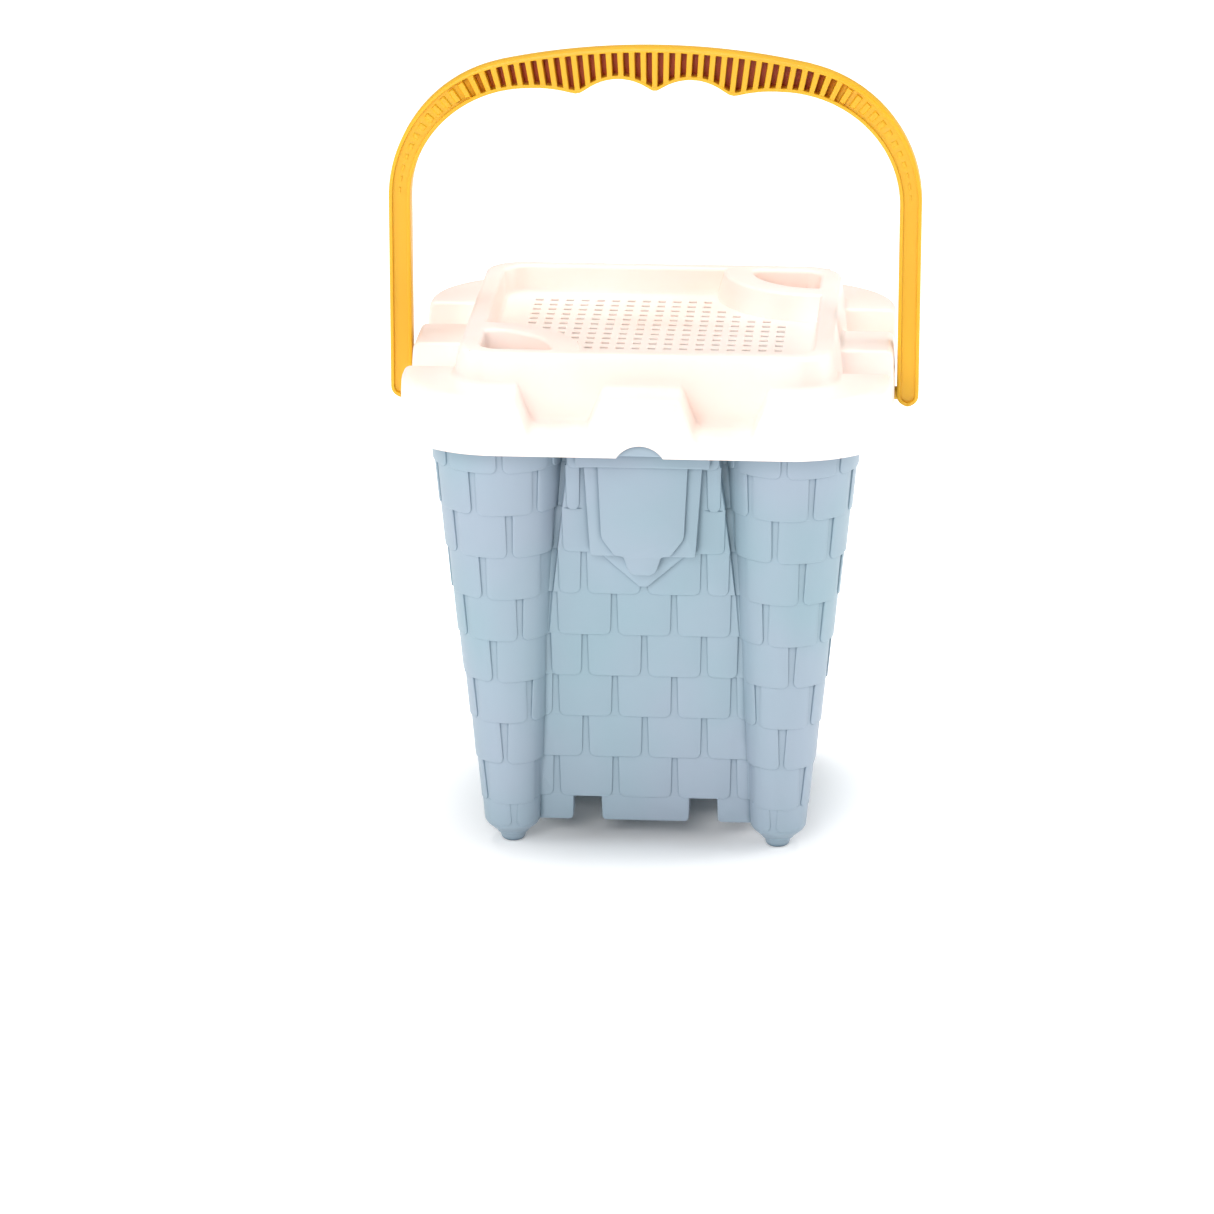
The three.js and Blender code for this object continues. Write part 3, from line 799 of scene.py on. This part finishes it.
# %% Cut the sieve
HOLE_HALF = 1.45
HOLE_PITCH = (5.88, 6.8)
HOLE_COUNT = (17, 15)
mesh_cuts = []
for column in range(HOLE_COUNT[0]):
    for row in range(HOLE_COUNT[1]):
        x = (column - (HOLE_COUNT[0] - 1) / 2) * HOLE_PITCH[0]
        y = (row - (HOLE_COUNT[1] - 1) / 2) * HOLE_PITCH[1]
        nearest = min(math.hypot(x + TRAY_HALF, y + TRAY_HALF), math.hypot(x - TRAY_HALF, y - TRAY_HALF))
        if nearest <= LEDGE_FOOT_RADIUS + 4.0:
            continue
        levels = ((HOLE_HALF, tray_under - 1), (HOLE_HALF, TRAY_FLOOR - 0.3),
                  (HOLE_HALF + 0.3, TRAY_FLOOR + 0.1))
        mesh_cuts.append(loft([[(x - h, y - h, z), (x + h, y - h, z), (x + h, y + h, z), (x - h, y + h, z)]
                               for h, z in levels]))
combine(lid, new_solid("sieve_holes", *mesh_cuts), "DIFFERENCE")
print("sieve holes:", len(mesh_cuts))
finish_surface(lid)

# %% [markdown]
# ## The handle
#
# The handle is one long bow. Seen from the front its outer edge is a shallow arch, two round shoulders and
# two straight arms, and its inner edge has scallops for four fingers. The front face is cored out between two
# flanges, with a comb of ribs across the grip that fades into dimples down the shoulders. It is made as a
# sweep: a section with all its corners, placed at each station along the bow, is drawn deep at the pockets
# and shallow at the ribs.

# %% The inner edge of the grip
ARCH_CENTRE = 22.0
ARCH_RADIUS = HANDLE_TOP - ARCH_CENTRE
SHOULDER = (46.0, 235.0)
SHOULDER_RADIUS = ARM_OUTER - SHOULDER[0]
ARM_INNER = 90.8
SHOULDER_INNER = (ARM_INNER - SHOULDER[0], 42.4)
ARCH_REACH = math.pi / 2 - math.acos(SHOULDER[0] / (ARCH_RADIUS - SHOULDER_RADIUS))


def grip_edge(x):
    """Height of the finger scallops at x: two arcs, blended where they meet in a soft tip."""
    x = abs(x)
    arcs = [262.0 + math.sqrt(max(19.34 ** 2 - (x - 13.3) ** 2, 0)),
            262.0 + math.sqrt(max(19.34 ** 2 - (x + 13.3) ** 2, 0)),
            228.2 + math.sqrt(max(49.3 ** 2 - (x - 43.5) ** 2, 0))]
    softness = 1.5
    best = max(arcs)
    return best + softness * math.log(sum(math.exp((arc - best) / softness) for arc in arcs))


def inner_radius(tilt):
    """How far the inner edge is from the shoulder's centre at an angle from upright."""
    across, up = SHOULDER_INNER
    return 1 / math.sqrt((math.sin(tilt) / across) ** 2 + (math.cos(tilt) / up) ** 2)


print("tips between fingers at", round(grip_edge(0), 1), "and", round(grip_edge(27.7), 1))

# %% [markdown]
# A station is an outer point and an inner point, with how deep the front is there: the level of the ribs, the
# depth of the pocket and how wide the pocket is. Rib and pocket stations alternate in close pairs, which
# gives each rib its steep sides and small top chamfers.

# %% List the stations of one half
RIB_PITCH, RIB_HALF = 4.2, 1.0
POCKET_DEPTH, ARM_RECESS = 6.6, 1.2
FLANGE = 1.4
FOOT_RADIUS = (ARM_OUTER - ARM_INNER) / 2
arch_gauge, shoulder_gauge = ARCH_RADIUS - 7.0, SHOULDER_RADIUS - 5.5
arch_length = arch_gauge * ARCH_REACH
shoulder_length = shoulder_gauge * (math.pi / 2 - ARCH_REACH)


def bow_points(along):
    """The outer and inner points this far along the bow from the middle."""
    past = along - arch_length
    if past < 0:
        tilt = along / arch_gauge
        outer = (ARCH_RADIUS * math.sin(tilt), ARCH_CENTRE + ARCH_RADIUS * math.cos(tilt))
        x = outer[0] * 0.96
        for _ in range(8):
            height = grip_edge(x)
            if x > SHOULDER[0]:
                rise = 1 - min((x - SHOULDER[0]) / SHOULDER_INNER[0], 1) ** 2
                height = max(SHOULDER[1] + SHOULDER_INNER[1] * math.sqrt(rise), 0)
            x = (height - ARCH_CENTRE) * math.tan(tilt)
        return outer, (x, height)
    tilt = ARCH_REACH + past / shoulder_gauge
    reach = inner_radius(tilt)
    outer = (SHOULDER[0] + SHOULDER_RADIUS * math.sin(tilt), SHOULDER[1] + SHOULDER_RADIUS * math.cos(tilt))
    return outer, (SHOULDER[0] + reach * math.sin(tilt), SHOULDER[1] + reach * math.cos(tilt))


def smooth(value):
    value = min(max(value, 0.0), 1.0)
    return value * value * (3 - 2 * value)


def front_depths(along):
    """Rib level, pocket depth and rib length as a share of the full width."""
    fade = min(max(along - arch_length, 0) / shoulder_length, 1)
    depth = ARM_RECESS + (POCKET_DEPTH - ARM_RECESS) * (1 - smooth(fade * 2.9))
    rib_level = min(0.15 + 0.7 * smooth(fade * 1.5), depth - 0.4)
    share = 1 - 0.86 * min(max(fade - 0.2, 0) / 0.65, 1) ** 0.9
    return rib_level, depth, share


stations = []
rib = 0
while rib * RIB_PITCH < arch_length + shoulder_length - 1:
    centre = rib * RIB_PITCH
    for step, is_pocket in ((-RIB_HALF - 0.25, True), (-RIB_HALF, False), (-0.75, False), (0.75, False),
                            (RIB_HALF, False), (RIB_HALF + 0.25, True)):
        along = centre + step
        if along < 0:
            continue
        rib_level, depth, share = front_depths(along)
        beside = rib_level + (depth - rib_level) * smooth((1 - share) / 0.15)
        lip = 0.25 if abs(step) == RIB_HALF else 0
        levels = (depth, depth) if is_pocket else (beside, rib_level + lip)
        stations.append((*bow_points(along), *levels, share, FLANGE))
    rib += 1
print("ribs on one side:", rib, "with", len(stations), "stations")

# %% Go down the arm and round its foot
arm_middle = (ARM_OUTER + ARM_INNER) / 2
for z in (SHOULDER[1], 228, 220, 210, 200, 190, 180, 172, PIVOT_HEIGHT + 2):
    if z < stations[-1][0][1] - 0.5:
        stations.append(((ARM_OUTER, z), (ARM_INNER, z), ARM_RECESS, ARM_RECESS, 0.28, FLANGE))
for angle in np.radians([0, 12, 24, 34, 41, 44, 55, 66, 76, 84]):
    drop, half = FOOT_RADIUS * math.sin(angle), FOOT_RADIUS * math.cos(angle)
    inside = (FOOT_RADIUS - FLANGE) ** 2 - drop ** 2
    recess_half = math.sqrt(inside) if inside > 0.04 else 0.2 * half
    level = ARM_RECESS if inside > 0.04 else 0.1
    stations.append(((arm_middle + half, PIVOT_HEIGHT - drop), (arm_middle - half, PIVOT_HEIGHT - drop),
                     level, level, 0.28, half - recess_half))

# %% [markdown]
# The section is drawn once as a function of the station. Going round it: the back, the outer face, the front
# of the outer flange, down into the pocket and up again, the inner flange and the inner face.

# %% One section
EDGE = 0.7


def section(station):
    """Points round the bow at one station, as (x, y, z)."""
    outer, inner, rib_level, depth, share, flange = station
    outer, inner = np.array(outer), np.array(inner)
    width = np.linalg.norm(inner - outer)
    across = (inner - outer) / width
    face = -HANDLE_HALF_DEPTH
    edge = min(EDGE, width * 0.2)
    open_half = width / 2 - flange
    pocket_half = max(open_half - 0.25, 0.05) * share
    wall = min(0.35, pocket_half * 0.4)
    half = [(-width / 2 + edge, HANDLE_HALF_DEPTH), (-width / 2 + edge * 0.3, HANDLE_HALF_DEPTH - edge * 0.3),
            (-width / 2, HANDLE_HALF_DEPTH - edge), (-width / 2, face + edge),
            (-width / 2 + edge * 0.3, face + edge * 0.3), (-width / 2 + edge, face),
            (-open_half - 0.15 * flange, face), (-open_half, face + min(0.2, rib_level * 0.5)),
            (-open_half + 0.1, face + rib_level), (-pocket_half, face + rib_level),
            (-pocket_half + wall * 0.5, face + rib_level + (depth - rib_level) * 0.8),
            (-pocket_half + wall, face + depth)]
    loop = half + [(-across_, y) for across_, y in half[::-1]]
    middle = (outer + inner) / 2
    return [(middle[0] + u * across[0], y, middle[1] + u * across[1]) for u, y in loop]


def section_depths(station):
    """How deep in a pocket each point of the section is, for the painted shade mixed into the colour."""
    inner = [0] * 8 + [station[2], station[2], station[3], station[3]]
    return inner + inner[::-1]


right = [section(station) for station in stations]
right_depths = [section_depths(station) for station in stations]
left = [[(-x, y, z) for x, y, z in ring] for ring in right[::-1]]
handle = new_solid("carry_handle_moulding", loft(left + right))
print("handle sweep:", len(left + right), "stations of", len(right[0]), "points")

# %% [markdown]
# A pin with a flat head is moulded on the inside of each foot. The head snaps in past the ear on the bucket's
# rim, and the handle turns on the pin.

# %% Add the pins
PIN_RADIUS, HEAD_RADIUS, HEAD_THICKNESS = 2.5, 3.7, 1.6
head_end = RIM_HALF - RIM_PLATE - 0.5
pin_path = rounded_path([(0, head_end - HEAD_THICKNESS, 0), (HEAD_RADIUS, head_end - HEAD_THICKNESS, 0.5),
                         (HEAD_RADIUS, head_end, 0.3), (PIN_RADIUS, head_end, 0.3),
                         (PIN_RADIUS, ARM_INNER + 2, 0),
                         (0, ARM_INNER + 2, 0)], 3)
pin = along_x(turned(pin_path, 40))
pocket_tree = KDTree(len(handle.data.vertices))
for index, vertex in enumerate(handle.data.vertices):
    pocket_tree.insert(vertex.co, index)
pocket_tree.balance()
pocket_depths = [depth for ring in right_depths[::-1] + right_depths for depth in ring]
combine(handle, new_solid("pins", pin, turn_about_z(pin, 2)), "UNION")
finish_surface(handle)

# %% [markdown]
# Light that gets into the pockets bounces between yellow walls and comes out a deep red orange. A path tracer
# finds part of that. The depth of each point is stored on the mesh, and the rest is painted shade: the
# plastic is mixed towards deep red orange there.

# %% Store the pocket depth
deep = handle.data.attributes.new("pocket", "FLOAT", "POINT")
for index, vertex in enumerate(handle.data.vertices):
    _, nearest, distance = pocket_tree.find(vertex.co)
    deep.data[index].value = pocket_depths[nearest] / POCKET_DEPTH if distance < 0.01 * MM else 0.0
print("deepest pocket value:", round(max(item.value for item in deep.data), 2))

# %% [markdown]
# ## Plastics
#
# All three pieces are satin polypropylene. What sets the colours apart is how far light travels inside: the
# blue is quite opaque, the cream and the yellow let light through thin walls and glow warmer in their folds.
# A slow cloud in the colour and a fine grain on the surface keep them from looking like paint.

# %% One plastic
def linear(red, green, blue):
    """A screen colour, 0 to 255, as linear light."""
    def one(value):
        value /= 255
        return value / 12.92 if value <= 0.04045 else ((value + 0.055) / 1.055) ** 2.4
    return one(red), one(green), one(blue), 1.0


def add_node(material, kind, **settings):
    """A shader node of one kind, with its inputs set by name."""
    node = material.node_tree.nodes.new("ShaderNode" + kind)
    for name, value in settings.items():
        node.inputs[name.replace("_", " ")].default_value = value
    return node


def plastic(name, main, shade, roughness, glow, glow_radius):
    """Satin plastic. The colour wanders between main and shade, and glow is the share of light let in."""
    material = bpy.data.materials.new(name)
    material.use_nodes = True
    link = material.node_tree.links.new
    shader = material.node_tree.nodes["Principled BSDF"]
    place = add_node(material, "TexCoord")
    cloud = add_node(material, "TexNoise", Scale=14.0, Detail=3.0)
    scuff = add_node(material, "TexNoise", Scale=60.0, Detail=5.0)
    grain = add_node(material, "TexNoise", Scale=900.0, Detail=2.0)
    for noise in (cloud, scuff, grain):
        link(place.outputs["Object"], noise.inputs["Vector"])
    ramp = add_node(material, "ValToRGB")
    ramp.color_ramp.elements[0].position = 0.35
    ramp.color_ramp.elements[0].color = shade
    ramp.color_ramp.elements[1].position = 0.62
    ramp.color_ramp.elements[1].color = main
    link(cloud.outputs["Fac"], ramp.inputs["Fac"])
    link(ramp.outputs["Color"], shader.inputs["Base Color"])
    spread = add_node(material, "MapRange", To_Min=roughness - 0.05, To_Max=roughness + 0.07)
    link(scuff.outputs["Fac"], spread.inputs["Value"])
    link(spread.outputs["Result"], shader.inputs["Roughness"])
    bump = add_node(material, "Bump", Strength=0.06, Distance=0.0002)
    link(grain.outputs["Fac"], bump.inputs["Height"])
    link(bump.outputs["Normal"], shader.inputs["Normal"])
    shader.inputs["Subsurface Weight"].default_value = glow
    shader.inputs["Subsurface Radius"].default_value = glow_radius
    shader.inputs["Subsurface Scale"].default_value = 0.003
    shader.inputs["Specular IOR Level"].default_value = 0.4
    return material


def mix_in(material, amount, colour):
    """Mixes another colour into the plastic's own, by as much as amount says."""
    link = material.node_tree.links.new
    mix = add_node(material, "Mix")
    mix.data_type = "RGBA"
    link(amount.outputs["Result"], mix.inputs["Factor"])
    link(material.node_tree.nodes["Color Ramp"].outputs["Color"], mix.inputs["A"])
    mix.inputs["B"].default_value = colour
    link(mix.outputs["Result"], material.node_tree.nodes["Principled BSDF"].inputs["Base Color"])


blue = plastic("blue_polypropylene", linear(146, 160, 174), linear(137, 160, 171), 0.42, 0.0, (1, 1, 1))
cream = plastic("cream_polypropylene", linear(245, 230, 223), linear(244, 222, 211), 0.36, 0.25,
                (1, 0.75, 0.65))
yellow = plastic("yellow_polypropylene", linear(226, 173, 30), linear(221, 167, 25), 0.38, 0.1,
                 (1, 0.5, 0.15))

# %% Paint shade into the pockets of the handle
pocket = add_node(yellow, "Attribute")
pocket.attribute_name = "pocket"
# The deep red orange mixed in by pocket depth is painted shade, standing in for light bounced inside the
# pockets.
pocket_shade = add_node(yellow, "MapRange", From_Min=0.4, From_Max=0.98, To_Max=0.92)
yellow.node_tree.links.new(pocket.outputs["Fac"], pocket_shade.inputs["Value"])
mix_in(yellow, pocket_shade, linear(192, 62, 0))
print("pockets deepened in", yellow.name)

# %% [markdown]
# The joints between shingles and the grooves beside the towers are narrow, and less light gets in than the
# soft studio shows. That shade is painted in: the blue darkens where it is hemmed in.

# %% Paint shade into the joints of the wall
hemmed_in = add_node(blue, "AmbientOcclusion", Distance=2.5 * MM)
hemmed_in.samples = 8
# The darker blue mixed in where the surface is hemmed in is painted shade.
crease_shade = add_node(blue, "MapRange", From_Min=0.92, From_Max=0.2)
blue.node_tree.links.new(hemmed_in.outputs["AO"], crease_shade.inputs["Value"])
mix_in(blue, crease_shade, linear(78, 102, 117))
print("joints deepened in", blue.name)

# %% Fit each moulding to its part
for solid, node, body, slot, material in (
        (bucket, "castle_bucket", "bucket", "bucket_plastic", blue),
        (lid, "sieve_lid", "lid", "lid_plastic", cream),
        (handle, "carry_handle", "handle", "handle_plastic", yellow)):
    solid.data.materials.clear()
    solid.data.materials.append(material)
    solid.data.polygons.foreach_set("material_index", [0] * len(solid.data.polygons))
    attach(solid, body)
    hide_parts(node)
    print(node, "is replaced by", solid.name)

# %% [markdown]
# ## Studio
#
# A product picture on white. The floor is white paper that runs out of sight and glows a little away from the
# object, so that it stays white while the object still has a soft shadow under it. The surround is weak, and
# four soft lights, at the front, the left, the right and above, round the forms.

# %% Floor
floor_mesh = bpy.data.meshes.new("floor")
reach = 4
floor_mesh.from_pydata([(-reach, -reach, 0), (reach, -reach, 0), (reach, reach, 0), (-reach, reach, 0)], [],
                       [(0, 1, 2, 3)])
floor = bpy.data.objects.new("floor", floor_mesh)
bpy.context.scene.collection.objects.link(floor)
paper = bpy.data.materials.new("white_paper")
paper.use_nodes = True
paper_shader = paper.node_tree.nodes["Principled BSDF"]
paper_shader.inputs["Base Color"].default_value = (0.93, 0.93, 0.93, 1)
paper_shader.inputs["Roughness"].default_value = 0.9
floor_place = add_node(paper, "TexCoord")
distance = add_node(paper, "VectorMath")
distance.operation = "LENGTH"
lit = add_node(paper, "MapRange", From_Min=0.04, From_Max=0.13, To_Max=0.6)
link = paper.node_tree.links.new
link(floor_place.outputs["Object"], distance.inputs[0])
link(distance.outputs["Value"], lit.inputs["Value"])
link(lit.outputs["Result"], paper_shader.inputs["Emission Strength"])
paper_shader.inputs["Emission Color"].default_value = (1, 1, 1, 1)
floor_mesh.materials.append(paper)

# %% Lights
world = bpy.data.worlds.new("studio")
world.use_nodes = True
world.node_tree.nodes["Background"].inputs["Color"].default_value = (1, 1, 1, 1)
world.node_tree.nodes["Background"].inputs["Strength"].default_value = 0.2
bpy.context.scene.world = world
bpy.context.scene.view_settings.view_transform = "Standard"
LIGHT_AIM = Vector((0, 0, 0.12))


def softbox(name, place, size, power):
    """A square light of this size in metres and power in watts, turned towards the object."""
    light = bpy.data.lights.new(name, "AREA")
    light.energy = power
    light.size = size
    lamp = bpy.data.objects.new(name, light)
    lamp.location = place
    lamp.rotation_euler = (LIGHT_AIM - lamp.location).to_track_quat("-Z", "Y").to_euler()
    bpy.context.scene.collection.objects.link(lamp)


softbox("front", (-0.4, -2.2, 1.1), 1.2, 31)
softbox("left", (-1.9, -0.6, 1.0), 1.2, 12)
softbox("right", (1.9, 0.2, 0.8), 1.2, 20)
softbox("top", (0, 0.3, 2.0), 1.4, 34)

# %% Camera
LENS, SENSOR_WIDTH = 158.9, 36
CAMERA_PLACE = Vector((0.1164, -1.9346, 0.7054))
CAMERA_AIM = Vector((-0.01787, 0, 0.07589))
camera_data = bpy.data.cameras.new("camera")
camera_data.lens = LENS
camera_data.sensor_width = SENSOR_WIDTH
camera = bpy.data.objects.new("camera", camera_data)
camera.location = CAMERA_PLACE
camera.rotation_euler = (CAMERA_AIM - CAMERA_PLACE).to_track_quat("-Z", "Y").to_euler()
bpy.context.scene.collection.objects.link(camera)
bpy.context.scene.camera = camera
